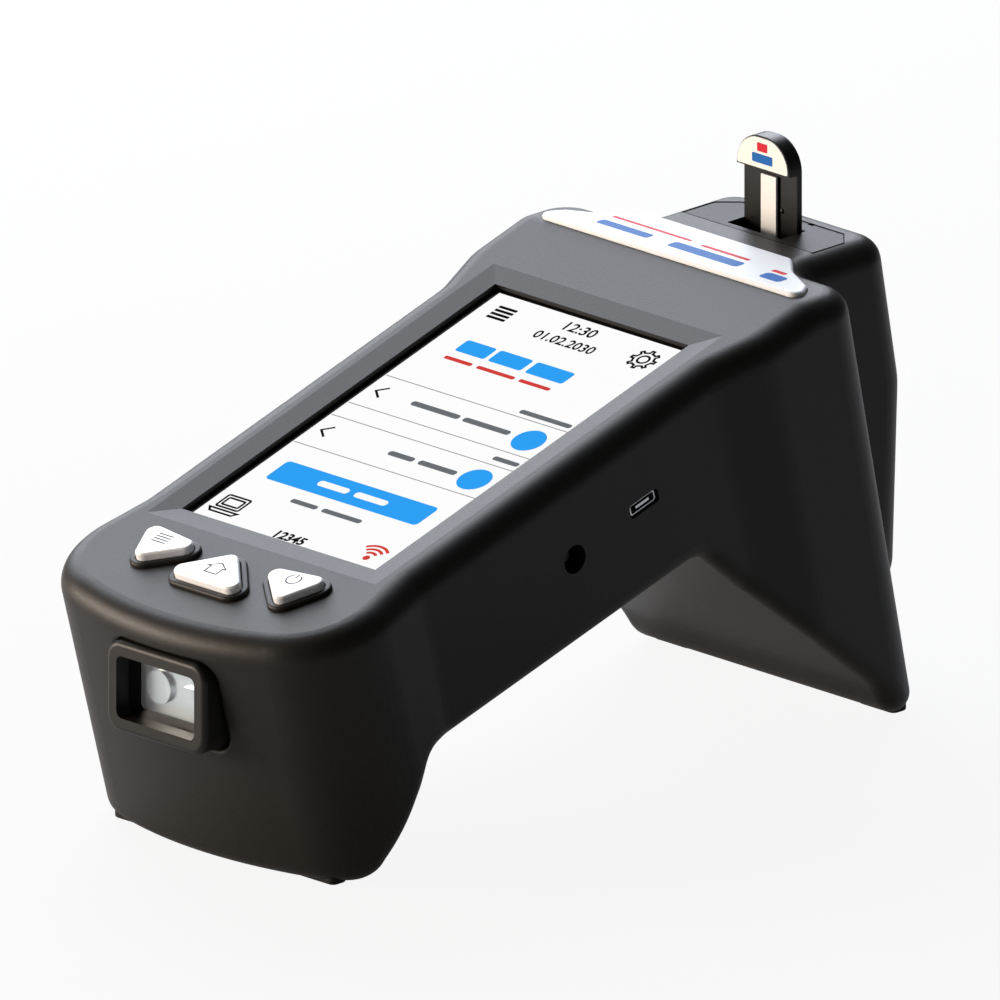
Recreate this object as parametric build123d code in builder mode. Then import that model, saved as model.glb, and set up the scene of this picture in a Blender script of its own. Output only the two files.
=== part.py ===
"""Hand-held rapid test reader: nose with scanner, grip with screen, rear leg with strip reader.

Millimetres, +Z up. The origin is at the middle of the footprint, on the ground.
Every plane below starts under the middle of the screen, so places read as distances from it:
deck is square to the tilted top, level is horizontal, front faces the user, side is the long section.
"""

import math
import os

from build123d import *

# Screen plane
tilt = 16.5
display_y = -17.05
display_z = 77.0
bevel_edge_h = 1.44
deck_h = 2.14

# Outline of the body, seen square to the tilted top
nose_half = 42.9
grip_half = 40.7
shoulder_half = 44.6
tower_half = 23.7
bow_tip = -90.9
bow_slope = 16.3
bow_lean = 1.5
nose_corner_radius = 20.0
nose_end = -61.0
grip_start = -48.0
grip_end = 42.5
shoulder_start = 55.5
shoulder_rear = 84.6
waist_radius = 14.0
shoulder_radius = 9.3
neck_radius = 5.5
tower_radius = 7.5
shoulder_draft = 2.9
nose_draft = 1.0
grip_draft = 2.0
rear_draft = 2.3

# Long section of the body
crease_y = 67.7
crease_radius = 8.0
tower_top_y = 110.8
tower_bulge = (116.6, 67.0)
tower_low = (115.0, 26.0)
tower_chin = (102.0, 3.5)
tower_bend = 20.0
body_bottom_z = 0.6
grip_depth = 39.6
leg_front_y = 39.8
leg_toe = (91.5, 8.2)
leg_heel_y = 96.0
heel_radius, toe_radius, leg_radius = 7.0, 12.0, 8.0
nose_rear_radius, nose_foot_radius = 7.0, 7.0
nose_rear_top_y = -41.5
nose_rear_foot_y = -54.8
parting_depth = 20.1
loft_depth = 107.0
top_fillet = 5.5
under_fillet = 4.0
wall = 2.5

# Screen stack
active_width, active_length = 53.86, 95.04
opening_half_x, opening_half_y = 28.45, 48.2
bevel_width = 5.15
glass_margin = 1.95
glass_thickness = 1.1
gasket_thickness = 0.4
gasket_width = 1.5
panel_margin = 1.0
panel_thickness = 3.4
fit_clearance = 0.2

# Keypad
key_rise = 2.6
key_radius = 2.1
key_gap = 0.25
key_flange, key_flange_thickness = 0.9, 0.7
key_edge = 0.6
key_travel, key_rest, key_spare = 0.8, 0.14, 0.1
collar_width, collar_rise, collar_edge = 1.25, 1.0, 0.6
keys = {
    "left": [(-26.9, -58.4), (-8.8, -60.6), (-20.9, -70.7)],
    "home": [(0.0, -59.6), (12.1, -71.4), (-12.1, -71.4)],
    "right": [(8.8, -60.6), (26.9, -58.4), (20.9, -70.7)],
}
dome_spots = [(-19.0, -63.0), (0.0, -67.0), (19.0, -63.0)]
dome_radius, dome_height, dome_taper = 2.4, 0.3, 20.0
membrane_size, membrane_corner = (56.0, 15.0, 0.8), 2.0
keypad_board_size = (65.0, 17.0, 1.6)
keypad_y = -65.0
post_radius, post_inset = 1.7, 2.2
keypad_screw_shank, keypad_screw_head, keypad_screw_length = 1.6, 3.0, 3.6
keypad_screw_head_height = 0.9

# Main board, ports and battery
board_half_x, board_half_y = 36.4, 45.0
board_thickness, board_corner = 1.6, 2.0
usb_y = 17.1
usb_opening = (8.6, 3.2)
usb_shell = (7.6, 2.6, 5.8)
usb_rim = 0.35
usb_tongue = (4.0, 0.6)
usb_recess = 0.7
jack_y = -4.6
jack_bore, jack_pin = 6.3, 2.0
jack_body = (9.0, 9.0, 13.5)
jack_tab, jack_wall, jack_corner = (12.0, 0.8, 8.0), 3.0, 1.0
battery_size = (49.0, 54.0, 10.0)
battery_y = -10.0
cradle_wall, cradle_height = 1.4, 6.0

# Fasteners of the housing
screw_x = 32.0
screw_ys = (-40.0, 5.6)
bottom_boss_radius, top_boss_radius = 4.2, 3.3
screw_shank, screw_head, screw_head_height = 3.0, 5.6, 2.2
screw_reach = 9.0
screw_sink = 4.0
screw_clearance, thread_clearance = 0.4, 0.1
rib_thickness = 2.0
screw_drive = 1.4

# Scanner in the nose
bezel_outer = (29.0, 20.0)
bezel_opening = (22.9, 13.7)
bezel_radius, bezel_edge, bezel_rim = 4.0, 1.2, 1.0
bezel_face_y = -83.0
bezel_depth = 13.0
bezel_z = 38.4
bezel_opening_radius = 1.6
bezel_flange, bezel_flange_thickness = 2.0, 1.5
window_recess, window_thickness, window_margin = 3.7, 1.2, 1.0
engine_size = (21.0, 14.0, 12.0)
engine_gap = 2.2
engine_lens_radius, engine_lens_length, engine_lens_x = 3.6, 1.0, 4.6
engine_corner = 1.0
bracket_thickness = 1.5

# Badge and tower top
badge_outline = [(39.6, 67.7), (35.8, 73.8), (27.0, 78.4), (20.6, 84.4)]
badge_radii = [2.2, 3.0, 4.0, 2.5]
badge_recess, badge_rise, badge_edge = 0.8, 1.0, 0.8
plate_half, plate_front_y, plate_rear_y, plate_chamfer = 19.2, 91.5, 105.2, 4.2
plate_thickness, plate_drop = 1.4, 0.1
notch_x, notch_size = 5.8, (1.6, 0.9)
slot_half, slot_front_y, slot_rear_y = 7.9, 93.5, 101.0
seam = 0.1

# Strip holder, guide and reader optics
holder_width = 15.5
holder_front_y, holder_rear_y = 98.5, 99.95
holder_shoulder, holder_below = 12.6, 48.0
holder_lift = 56.0
head_front_y, head_height, head_corner = 96.3, 7.4, 6.9
toe_chamfer = 1.2
groove_width, groove_depth = 0.6, 1.0
land_width, land_rise = 4.7, 0.2
label_thickness, label_inset, label_toe = 0.3, 0.4, 0.4
strip_width, strip_thickness, strip_start = 4.4, 0.5, 1.5
guide_wall, guide_play, guide_floor = 1.8, 0.2, 2.0
guide_rest = 0.05
funnel_depth = 10.0
read_window = (12.0, 28.0)
read_z = 68.0
chamber_size = (22.0, 34.0)
chamber_length, chamber_wall = 26.0, 1.6
light_thickness = 1.2
led_size = (3.0, 2.8, 1.0)
led_spots = (7.0, 12.0)
camera_board_thickness, camera_gap, camera_bore = 1.4, 6.0, 11.0
barrel_radius, barrel_length, barrel_dish = 5.0, 9.0, 0.8
standoff_radius, standoff_spots = 1.8, (8.6, 14.6)

# Feet, ribbons and small parts
foot_size, foot_height, foot_boss = (11.0, 4.6), 2.6, 1.6
foot_corner, foot_edge, foot_rim = 1.5, 0.5, 1.2
foot_spots = {"front": (27.0, -60.8), "rear": (30.0, 101.4)}
ribbon_thickness = 0.2
ribbon_bend = 2.5
display_ribbon_y, display_ribbon_width = -42.0, 24.0
scanner_ribbon_width, camera_ribbon_width = 10.0, 12.0
buzzer_radius, buzzer_height = 4.5, 4.0
buzzer_spot = (-24.0, -24.0)
antenna_size, antenna_y = (30.0, 8.0, 0.6), 59.0
chips = [
    ((0.0, 12.0), (14.0, 14.0, 1.4)),
    ((-22.0, 8.0), (10.0, 12.0, 1.2)),
    ((-20.0, 34.0), (18.0, 14.0, 2.4)),
    ((22.0, 34.0), (8.0, 8.0, 1.0)),
    ((2.0, -14.0), (7.0, 7.0, 3.0)),
]

slope = math.tan(math.radians(tilt))
upright = math.cos(math.radians(tilt))
deck = Plane(
    origin=(0, display_y, display_z),
    x_dir=(1, 0, 0),
    z_dir=(0, -math.sin(math.radians(tilt)), upright),
)
side = Plane(origin=(0, display_y, 0), x_dir=(0, 1, 0), z_dir=(1, 0, 0))
section_deck = Plane(origin=deck.origin, x_dir=deck.y_dir, z_dir=(1, 0, 0))
parting_h = deck_h - parting_depth
inner_top_h = deck_h - wall
underside_h = deck_h - grip_depth
tower_top_z = display_z + crease_y * slope + deck_h / upright
roof_z = tower_top_z - wall


def level(z):
    return Plane(origin=(0, display_y, z), x_dir=(1, 0, 0), z_dir=(0, 0, 1))


def front(y):
    return Plane(origin=(0, display_y + y, 0), x_dir=(1, 0, 0), z_dir=(0, -1, 0))


def on_deck(y, h):
    """The point of the long section that lies y along the deck and h above the screen."""
    return (y * upright - h * slope * upright, display_z + (y * slope + h) * upright)


# --- Body ---


def body_outline(h, inset):
    """The rounded outline of the body at the height h, drawn in by the mould's draft."""
    depth = deck_h - h
    nose = nose_half - depth * math.tan(math.radians(nose_draft))
    grip = grip_half - depth * math.tan(math.radians(grip_draft))
    shoulder = shoulder_half - depth * math.tan(math.radians(shoulder_draft))
    rear = shoulder_rear - depth * math.tan(math.radians(rear_draft))
    tip = bow_tip - depth * math.tan(math.radians(bow_lean))
    lean = math.radians(bow_slope)
    corner_tangent = nose_corner_radius * math.tan((math.pi / 2 - lean) / 2)
    bow_radius = (nose / math.cos(lean) - corner_tangent - 0.5) / math.tan(lean)
    right = [
        (nose, tip + nose * math.tan(lean)),
        (nose, nose_end),
        (grip, grip_start),
        (grip, grip_end),
        (shoulder, shoulder_start),
        (shoulder, rear),
    ]
    radii = [nose_corner_radius] + 4 * [waist_radius] + [shoulder_radius]
    left = [(-x, y) for x, y in reversed(right)]
    with BuildSketch(deck.offset(h)) as outline:
        with BuildLine():
            FilletPolyline((0, tip), *right, *left, radius=[bow_radius, *radii, *reversed(radii)], close=True)
        make_face()
        if inset:
            offset(amount=-inset)
    return outline.sketch


def long_section(inset):
    """The body's section along its length without the tower: deck, leg, grip and nose."""
    ahead, behind = 2 * bow_tip, 2 * shoulder_rear
    grip_y, grip_z = on_deck(0, deck_h - grip_depth)
    points = [
        (ahead, tower_top_z + (ahead - crease_y) * slope),
        (crease_y, tower_top_z),
        (behind, tower_top_z),
        (behind, body_bottom_z),
        (leg_heel_y, body_bottom_z),
        leg_toe,
        (leg_front_y, grip_z + (leg_front_y - grip_y) * slope),
        (nose_rear_top_y, grip_z + (nose_rear_top_y - grip_y) * slope),
        (nose_rear_foot_y, body_bottom_z),
        (ahead, body_bottom_z),
    ]
    rear_radii = [0, crease_radius, 0, 0, heel_radius, toe_radius]
    radii = [*rear_radii, leg_radius, nose_rear_radius, nose_foot_radius, 0]
    with BuildSketch(side) as section:
        with BuildLine():
            FilletPolyline(*points, radius=radii, close=True)
        make_face()
        if inset:
            offset(amount=-inset, kind=Kind.INTERSECTION)
    return section.sketch


def main_body(inset):
    """The body without the tower, inset all round, its edges sharp."""
    with BuildPart() as main:
        add(body_outline(deck_h + 12, inset))
        add(body_outline(deck_h - loft_depth, inset))
        loft(ruled=True)
        extrude(long_section(inset), amount=2 * shoulder_half, both=True, mode=Mode.INTERSECT)
    return main.part


def tower_body(inset):
    """The narrow tower behind the shoulders, its rear corners rounded and its foot run into the leg."""
    points = [
        (crease_y + 4, tower_top_z),
        (tower_top_y, tower_top_z),
        tower_bulge,
        tower_low,
        tower_chin,
        (leg_toe[0], tower_chin[1] + 30),
    ]
    with BuildPart() as tower:
        with BuildSketch(side):
            with BuildLine():
                FilletPolyline(*points, radius=[0, 0, tower_bend, tower_bend / 2, 0, 0], close=True)
            make_face()
            if inset:
                offset(amount=-inset, kind=Kind.INTERSECTION)
        extrude(amount=tower_half - inset, both=True)
        behind = tower.edges().filter_by(lambda e: (e @ 0.5).Y > display_y + tower_chin[0] + 0.5)
        upright_edges = behind.filter_by(
            lambda e: abs((e @ 0).X - (e @ 1).X) < 0.01 and abs((e @ 0).Z - (e @ 1).Z) > 0.01
        )
        fillet(upright_edges, tower_radius - inset)
    return tower.part


def rim_edges(body, profile_edges):
    """The body's edges along the sides of the given stretch of the long section."""

    def follows(point):
        flat = Vertex(0, point.Y, point.Z)
        return min(edge.distance_to(flat) for edge in profile_edges) < 0.03

    def crosses(edge):
        spans = abs((edge @ 0).X - (edge @ 1).X) > nose_half
        inside = display_y + nose_rear_foot_y - 6 < (edge @ 0.5).Y < display_y + leg_heel_y + 4
        return spans and inside

    along = body.edges().filter_by(lambda e: all(follows(e @ t) for t in (0, 0.5, 1)))
    return along.filter_by(lambda e: not crosses(e))


def rounded_body():
    """The outside of the body: keel rounded, tower added with its necks, then the rim of the top rounded."""

    def above(edge, h):
        return (edge @ 0.5).Z - (display_z + ((edge @ 0.5).Y - display_y) * slope) > h

    section = long_section(0).edges().filter_by(lambda e: abs((e @ 0.5).Y) < -bow_tip * 1.9)
    keel = section.filter_by(lambda e: not above(e, -20))
    roof = section.filter_by(lambda e: above(e, -12))
    with BuildPart() as body:
        add(main_body(0))
        fillet(rim_edges(body, keel), under_fillet)
        add(tower_body(0))
        necks = body.edges().filter_by(lambda e: abs(abs((e @ 0.5).X) - tower_half) < 0.01)
        necks = necks.filter_by(lambda e: e.geom_type == GeomType.BSPLINE)
        fillet(necks, neck_radius)
        fillet(rim_edges(body, roof), top_fillet)
    return body.part


def body_cavity():
    """The room inside the body, one wall in from the outside."""
    with BuildPart() as cavity:
        add(main_body(wall))
        add(tower_body(wall))
    return cavity.part


# --- Housing ---


def key_outline(h, corners, grow):
    """The rounded triangle of a key at the height h, grow wider all round."""
    with BuildSketch(deck.offset(h)) as outline:
        with BuildLine():
            FilletPolyline(*corners, radius=key_radius, close=True)
        make_face()
        if grow:
            offset(amount=grow)
    return outline.sketch


def rounded_prism(outline, height, edge, up):
    """The sketch drawn out by height, its far rim rounded."""
    with BuildPart() as prism:
        extrude(outline, amount=height)
        fillet(prism.faces().sort_by(Axis((0, 0, 0), up))[-1].edges(), edge)
    return prism.part


def deck_slab(size, y, low, high):
    """A flat rectangle lying along the deck between two heights."""
    with BuildPart() as slab:
        with BuildSketch(deck.offset(low)):
            with Locations((0, y)):
                Rectangle(*size)
        extrude(amount=high - low)
    return slab.part


glass_half_x, glass_half_y = opening_half_x + glass_margin, opening_half_y + glass_margin
glass_h = -glass_thickness
panel_h = glass_h - panel_thickness
flange_top_h = inner_top_h - key_rest
flange_h = flange_top_h - key_flange_thickness
dome_top_h = flange_h - key_travel - key_spare
membrane_top_h = dome_top_h - dome_height
keypad_top_h = membrane_top_h - membrane_size[2]
keypad_h = keypad_top_h - keypad_board_size[2]
board_h = parting_h - board_thickness
floor_h = underside_h + wall
head_h = underside_h + screw_sink
seat_h = head_h + screw_head_height
boss_top_h = parting_h + screw_reach + 1
usb_h = parting_h + usb_shell[1] / 2
wall_x = grip_half - (deck_h - usb_h) * math.tan(math.radians(grip_draft))
inner_x = wall_x - wall
plate_z = tower_top_z - plate_drop
post_x = keypad_board_size[0] / 2 - post_inset
post_ys = [keypad_y - keypad_board_size[1] / 2 + post_inset, keypad_y + keypad_board_size[1] / 2 - post_inset]
screw_spots = [(x, y) for x in (-screw_x, screw_x) for y in screw_ys]
post_spots = [(x, y) for x in (-post_x, post_x) for y in post_ys]

def bounds_scanner(edge):
    """Whether an edge runs round the mouth of the scanner's opening."""
    half_width, half_height = [side_length / 2 + 2 * fit_clearance for side_length in bezel_outer]
    inside = all(
        abs((edge @ t).X) < half_width
        and abs((edge @ t).Z - bezel_z) < half_height
        and (edge @ t).Y < display_y + bezel_face_y + bezel_depth - 1
        for t in (0, 0.5, 1)
    )
    return inside and edge.geom_type != GeomType.LINE


outer = rounded_body()

with BuildPart() as shell:
    add(outer)
    with BuildSketch(front(bezel_face_y + bezel_depth)):
        with Locations((0, bezel_z)):
            RectangleRounded(*[side_length + 2 * fit_clearance for side_length in bezel_outer], bezel_radius)
    extrude(amount=2 * bezel_depth, mode=Mode.SUBTRACT)
    fillet(shell.edges().filter_by(bounds_scanner), bezel_rim)
    add(body_cavity(), mode=Mode.SUBTRACT)

with BuildPart() as ports:
    with BuildSketch(section_deck.offset(inner_x - wall)):
        with Locations((usb_y, usb_h)):
            RectangleRounded(*usb_opening, usb_opening[1] / 4)
        with Locations((jack_y, parting_h)):
            Circle(jack_bore / 2)
    extrude(amount=3 * wall)

with BuildPart() as foot_bosses:
    with BuildSketch(level(body_bottom_z + wall / 2)):
        for x, y in foot_spots.values():
            with Locations((-x, y), (x, y)):
                Rectangle(foot_size[0] + 2 * foot_rim, foot_size[1] + 2 * foot_rim)
    extrude(amount=wall / 2 + foot_boss)
    add(outer, mode=Mode.INTERSECT)

with BuildPart() as housing_top:
    add(shell.part)
    split(bisect_by=deck.offset(parting_h), keep=Keep.TOP)
    for corners in keys.values():
        collar = key_outline(deck_h - wall / 2, corners, key_gap + collar_width)
        add(rounded_prism(collar, wall / 2 + collar_rise, collar_edge, deck.z_dir))
    for corners in keys.values():
        well = key_outline(inner_top_h - 1, corners, key_gap)
        extrude(well, amount=wall + collar_rise + 2, mode=Mode.SUBTRACT)
    with BuildSketch(deck.offset(inner_top_h - 1)):
        Rectangle(2 * opening_half_x, 2 * opening_half_y)
    extrude(amount=wall + 2, mode=Mode.SUBTRACT)
    with BuildSketch(deck.offset(bevel_edge_h)):
        Rectangle(2 * opening_half_x, 2 * opening_half_y)
    with BuildSketch(deck.offset(bevel_edge_h + 1.2 * (deck_h - bevel_edge_h))):
        Rectangle(2 * opening_half_x + 2.4 * bevel_width, 2 * opening_half_y + 2.4 * bevel_width)
    loft(ruled=True, mode=Mode.SUBTRACT)
    with BuildSketch(deck.offset(inner_top_h - 1)):
        Rectangle(2 * (glass_half_x + fit_clearance), 2 * (glass_half_y + fit_clearance))
    extrude(amount=gasket_thickness - inner_top_h + 1, mode=Mode.SUBTRACT)
    with BuildSketch(level(tower_top_z - badge_recess)):
        with BuildLine():
            left_side = [(-x, y) for x, y in reversed(badge_outline)]
            FilletPolyline(*badge_outline, *left_side, radius=badge_radii + badge_radii[::-1], close=True)
        make_face()
    extrude(amount=wall, mode=Mode.SUBTRACT)
    with BuildSketch(level(plate_z - plate_thickness)) as plate_pocket:
        with BuildLine():
            Polyline(
                (plate_half, plate_front_y),
                (plate_half, plate_rear_y - plate_chamfer),
                (plate_half - plate_chamfer, plate_rear_y),
                (plate_chamfer - plate_half, plate_rear_y),
                (-plate_half, plate_rear_y - plate_chamfer),
                (-plate_half, plate_front_y),
                close=True,
            )
        make_face()
    extrude(amount=wall, mode=Mode.SUBTRACT)
    with BuildSketch(level(roof_z - 1)):
        with Locations((0, (slot_front_y + slot_rear_y) / 2)):
            Rectangle(2 * slot_half, slot_rear_y - slot_front_y)
    extrude(amount=wall, mode=Mode.SUBTRACT)
    with BuildSketch(deck.offset(keypad_top_h)):
        with Locations(*post_spots):
            Circle(post_radius)
    extrude(amount=inner_top_h - keypad_top_h + wall / 4)
    with BuildSketch(deck.offset(keypad_top_h)):
        with Locations(*post_spots):
            Circle(keypad_screw_shank / 2 + thread_clearance)
    extrude(amount=keypad_screw_length - keypad_board_size[2] + thread_clearance, mode=Mode.SUBTRACT)
    with BuildSketch(deck.offset(parting_h)):
        for x, y in screw_spots:
            with Locations((x, y)):
                Circle(top_boss_radius)
            with Locations((math.copysign((screw_x + wall_x - wall / 3) / 2, x), y)):
                Rectangle(wall_x - wall / 3 - screw_x, rib_thickness)
    extrude(amount=boss_top_h - parting_h)
    with BuildSketch(deck.offset(parting_h)):
        with Locations(*screw_spots):
            Circle(screw_shank / 2 + thread_clearance)
    extrude(amount=screw_reach + thread_clearance, mode=Mode.SUBTRACT)
    add(ports.part, mode=Mode.SUBTRACT)
housing_top.part.label = "housing_top"

with BuildPart() as housing_bottom:
    add(shell.part)
    split(bisect_by=deck.offset(parting_h), keep=Keep.BOTTOM)
    with BuildSketch(deck.offset(underside_h + wall / 2)):
        with Locations(*screw_spots):
            Circle(bottom_boss_radius)
    extrude(amount=board_h - underside_h - wall / 2)
    with BuildSketch(deck.offset(underside_h - 1)):
        with Locations(*screw_spots):
            Circle(screw_head / 2 + screw_clearance / 2)
    extrude(amount=seat_h - underside_h + 1, mode=Mode.SUBTRACT)
    with BuildSketch(deck.offset(seat_h)):
        with Locations(*screw_spots):
            Circle(screw_shank / 2 + screw_clearance / 2)
    extrude(amount=board_h - seat_h, mode=Mode.SUBTRACT)
    add(foot_bosses.part)
    with BuildSketch(level(0)):
        for x, y in foot_spots.values():
            with Locations((-x, y), (x, y)):
                RectangleRounded(foot_size[0] + 2 * seam, foot_size[1] + 2 * seam, foot_corner + seam)
    extrude(amount=foot_height, mode=Mode.SUBTRACT)
    add(ports.part, mode=Mode.SUBTRACT)
housing_bottom.part.label = "housing_bottom"

# --- Screen ---

display_glass = deck_slab((2 * glass_half_x, 2 * glass_half_y), 0, glass_h, 0)
display_glass.label = "display_glass"

display_panel = deck_slab(
    (2 * (glass_half_x - panel_margin), 2 * (glass_half_y - panel_margin)), 0, panel_h, glass_h
)
display_panel.label = "display_panel"

with BuildPart() as display_gasket:
    with BuildSketch(deck):
        Rectangle(2 * glass_half_x, 2 * glass_half_y)
        Rectangle(2 * (glass_half_x - gasket_width), 2 * (glass_half_y - gasket_width), mode=Mode.SUBTRACT)
    extrude(amount=gasket_thickness)
display_gasket.part.label = "display_gasket"

# --- Keypad ---


def key_cap(corners):
    """A key: its cap, standing out of the collar, and the flange that stops under the roof."""
    with BuildPart() as cap:
        height = deck_h + key_rise - flange_h
        add(rounded_prism(key_outline(flange_h, corners, 0), height, key_edge, deck.z_dir))
        extrude(key_outline(flange_h, corners, key_flange), amount=key_flange_thickness)
    return cap.part


key_list = key_cap(keys["left"])
key_list.label = "key_list"
key_home = key_cap(keys["home"])
key_home.label = "key_home"
key_power = key_cap(keys["right"])
key_power.label = "key_power"

with BuildPart() as keypad_membrane:
    with BuildSketch(deck.offset(keypad_top_h)):
        with Locations((0, keypad_y)):
            RectangleRounded(membrane_size[0], membrane_size[1], membrane_corner)
    extrude(amount=membrane_size[2])
    with BuildSketch(deck.offset(membrane_top_h)):
        with Locations(*dome_spots):
            Circle(dome_radius)
    extrude(amount=dome_height, taper=dome_taper)
keypad_membrane.part.label = "keypad_membrane"

with BuildPart() as keypad_board:
    with BuildSketch(deck.offset(keypad_h)):
        with Locations((0, keypad_y)):
            Rectangle(keypad_board_size[0], keypad_board_size[1])
        with Locations(*post_spots):
            Circle(keypad_screw_shank / 2 + thread_clearance, mode=Mode.SUBTRACT)
    extrude(amount=keypad_board_size[2])
keypad_board.part.label = "keypad_board"

with BuildPart() as keypad_screws:
    with BuildSketch(deck.offset(keypad_h)):
        with Locations(*post_spots):
            Circle(keypad_screw_shank / 2)
    extrude(amount=keypad_screw_length)
    with BuildSketch(deck.offset(keypad_h)):
        with Locations(*post_spots):
            Circle(keypad_screw_head / 2)
    extrude(amount=-keypad_screw_head_height)
keypad_screws.part.label = "keypad_screws"

# --- Main board, ports and battery ---

jack_rear_x = inner_x - fit_clearance - jack_body[2]
jack_cut_x = jack_rear_x - fit_clearance
usb_mouth_x = wall_x - usb_recess
battery_bay = [side_length + 2 * fit_clearance for side_length in battery_size[:2]]

with BuildPart() as main_board:
    with BuildSketch(deck.offset(board_h)):
        RectangleRounded(2 * board_half_x, 2 * board_half_y, board_corner)
        with Locations(*screw_spots):
            Circle(screw_shank / 2 + screw_clearance / 2, mode=Mode.SUBTRACT)
        with Locations(((jack_cut_x + board_half_x + 1) / 2, jack_y)):
            Rectangle(board_half_x + 1 - jack_cut_x, jack_body[0] + 2 * fit_clearance, mode=Mode.SUBTRACT)
    extrude(amount=board_thickness)
main_board.part.label = "main_board"

with BuildPart() as board_chips:
    for place, (width, length, height) in chips:
        with BuildSketch(deck.offset(parting_h)):
            with Locations(place):
                Rectangle(width, length)
        extrude(amount=height)
board_chips.part.label = "board_chips"

with BuildPart() as usb_socket:
    with BuildSketch(section_deck.offset(usb_mouth_x)):
        with Locations((usb_y, usb_h)):
            RectangleRounded(usb_shell[0], usb_shell[1], usb_shell[1] / 4)
    extrude(amount=-usb_shell[2])
    with BuildSketch(section_deck.offset(usb_mouth_x)):
        with Locations((usb_y, usb_h)):
            RectangleRounded(usb_shell[0] - 2 * usb_rim, usb_shell[1] - 2 * usb_rim, usb_shell[1] / 6)
            Rectangle(*usb_tongue, mode=Mode.SUBTRACT)
    extrude(amount=usb_rim - usb_shell[2], mode=Mode.SUBTRACT)
usb_socket.part.label = "usb_socket"

with BuildPart() as dc_jack:
    with BuildSketch(section_deck.offset(jack_rear_x)):
        with Locations((jack_y, parting_h)):
            RectangleRounded(jack_body[0], jack_body[1], jack_corner)
    extrude(amount=jack_body[2])
    with BuildSketch(deck.offset(parting_h)):
        with Locations((jack_rear_x + jack_tab[2] / 2, jack_y)):
            Rectangle(jack_tab[2], jack_tab[0])
    extrude(amount=jack_tab[1])
    with BuildSketch(section_deck.offset(jack_rear_x + jack_wall)):
        with Locations((jack_y, parting_h)):
            Circle(jack_bore / 2)
            Circle(jack_pin / 2, mode=Mode.SUBTRACT)
    extrude(amount=jack_body[2] - jack_wall, mode=Mode.SUBTRACT)
dc_jack.part.label = "dc_jack"

battery_pack = deck_slab(battery_size[:2], battery_y, floor_h, floor_h + battery_size[2])
battery_pack.label = "battery_pack"

with BuildPart() as battery_cradle:
    with BuildSketch(deck.offset(floor_h)):
        with Locations((0, battery_y)):
            Rectangle(*[side_length + 2 * cradle_wall for side_length in battery_bay])
            Rectangle(*battery_bay, mode=Mode.SUBTRACT)
    extrude(amount=cradle_height)
battery_cradle.part.label = "battery_cradle"

with BuildPart() as buzzer:
    with BuildSketch(deck.offset(parting_h)):
        with Locations(buzzer_spot):
            Circle(buzzer_radius)
    extrude(amount=buzzer_height)
buzzer.part.label = "buzzer"

antenna = deck_slab(antenna_size[:2], antenna_y, inner_top_h - antenna_size[2], inner_top_h)
antenna.label = "antenna"

with BuildPart() as housing_screws:
    with BuildSketch(deck.offset(head_h)):
        with Locations(*screw_spots):
            Circle(screw_head / 2)
    extrude(amount=screw_head_height)
    with BuildSketch(deck.offset(seat_h)):
        with Locations(*screw_spots):
            Circle(screw_shank / 2)
    extrude(amount=parting_h + screw_reach - seat_h)
    with BuildSketch(deck.offset(head_h)):
        with Locations(*screw_spots):
            RegularPolygon(screw_drive, 6)
    extrude(amount=screw_head_height / 2, mode=Mode.SUBTRACT)
housing_screws.part.label = "housing_screws"

# --- Scanner ---

bezel_rear_y = bezel_face_y + bezel_depth
flange_size = [side_length + 2 * bezel_flange for side_length in bezel_outer]
window_y = bezel_face_y + window_recess
window_width, window_height = [side_length + 2 * window_margin for side_length in bezel_opening]
engine_y = window_y + window_thickness + engine_gap
pocket_width, pocket_height = window_width + 2 * seam, window_height + 2 * seam

with BuildPart() as scanner_bezel:
    with BuildSketch(front(bezel_rear_y)):
        with Locations((0, bezel_z)):
            RectangleRounded(*bezel_outer, bezel_radius)
    extrude(amount=bezel_depth)
    fillet(scanner_bezel.faces().sort_by(Axis.Y)[0].edges(), bezel_edge)
    with BuildSketch(front(bezel_rear_y)):
        with Locations((0, bezel_z)):
            RectangleRounded(*flange_size, bezel_radius + bezel_flange)
    extrude(amount=bezel_flange_thickness)
    with BuildSketch(front(bezel_rear_y)):
        with Locations((0, bezel_z)):
            RectangleRounded(*bezel_opening, bezel_opening_radius)
    extrude(amount=bezel_depth, mode=Mode.SUBTRACT)
    with BuildSketch(front(bezel_rear_y)):
        with Locations((0, bezel_z)):
            Rectangle(pocket_width, pocket_height)
    extrude(amount=bezel_rear_y - window_y, mode=Mode.SUBTRACT)
scanner_bezel.part.label = "scanner_bezel"

with BuildPart() as scanner_window:
    with BuildSketch(front(window_y + window_thickness)):
        with Locations((0, bezel_z)):
            Rectangle(window_width, window_height)
    extrude(amount=window_thickness)
scanner_window.part.label = "scanner_window"

with BuildPart() as scan_engine:
    with BuildSketch(front(engine_y + engine_size[1])):
        with Locations((0, bezel_z)):
            RectangleRounded(engine_size[0], engine_size[2], engine_corner)
    extrude(amount=engine_size[1])
    with BuildSketch(front(engine_y)):
        with Locations((-engine_lens_x, bezel_z)):
            Circle(engine_lens_radius)
        with Locations((engine_lens_x, bezel_z)):
            Rectangle(engine_lens_radius, engine_lens_radius)
    extrude(amount=engine_lens_length)
scan_engine.part.label = "scan_engine"

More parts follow.
